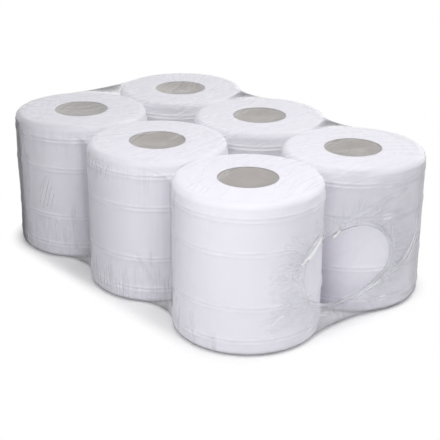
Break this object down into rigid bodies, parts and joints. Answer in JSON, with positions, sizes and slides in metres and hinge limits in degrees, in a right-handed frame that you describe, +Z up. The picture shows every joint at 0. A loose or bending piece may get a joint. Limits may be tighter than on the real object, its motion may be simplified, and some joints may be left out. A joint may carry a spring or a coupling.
{
  "type": "pack of centrefeed paper rolls",
  "caption": "Shrink-wrapped pack of white centrefeed paper rolls on card cores, standing in two rows, with an oval bull's-eye opening in the clear film at each short end.",
  "frame": {"origin": "centre of the pack's footprint, on its underside", "axes": "+X along the rows of rolls, +Z up, +Y towards the long side with the film's weld"},
  "size_m": [0.5622, 0.372, 0.1974],
  "materials": {
    "tissue": "soft white embossed tissue, wound tight",
    "core_card": "grey-brown wound board",
    "shrink_film": "clear polyethylene shrink film, slightly hazy, glossy"
  },
  "bodies": {
    "root": {"paper_roll_1": "tissue", "paper_roll_2": "tissue", "paper_roll_3": "tissue", "paper_roll_4": "tissue", "paper_roll_5": "tissue", "paper_roll_6": "tissue", "core_tube_1": "core_card", "core_tube_2": "core_card", "core_tube_3": "core_card", "core_tube_4": "core_card", "core_tube_5": "core_card", "core_tube_6": "core_card", "film_wrap": "shrink_film"}
  },
  "joints": []
}
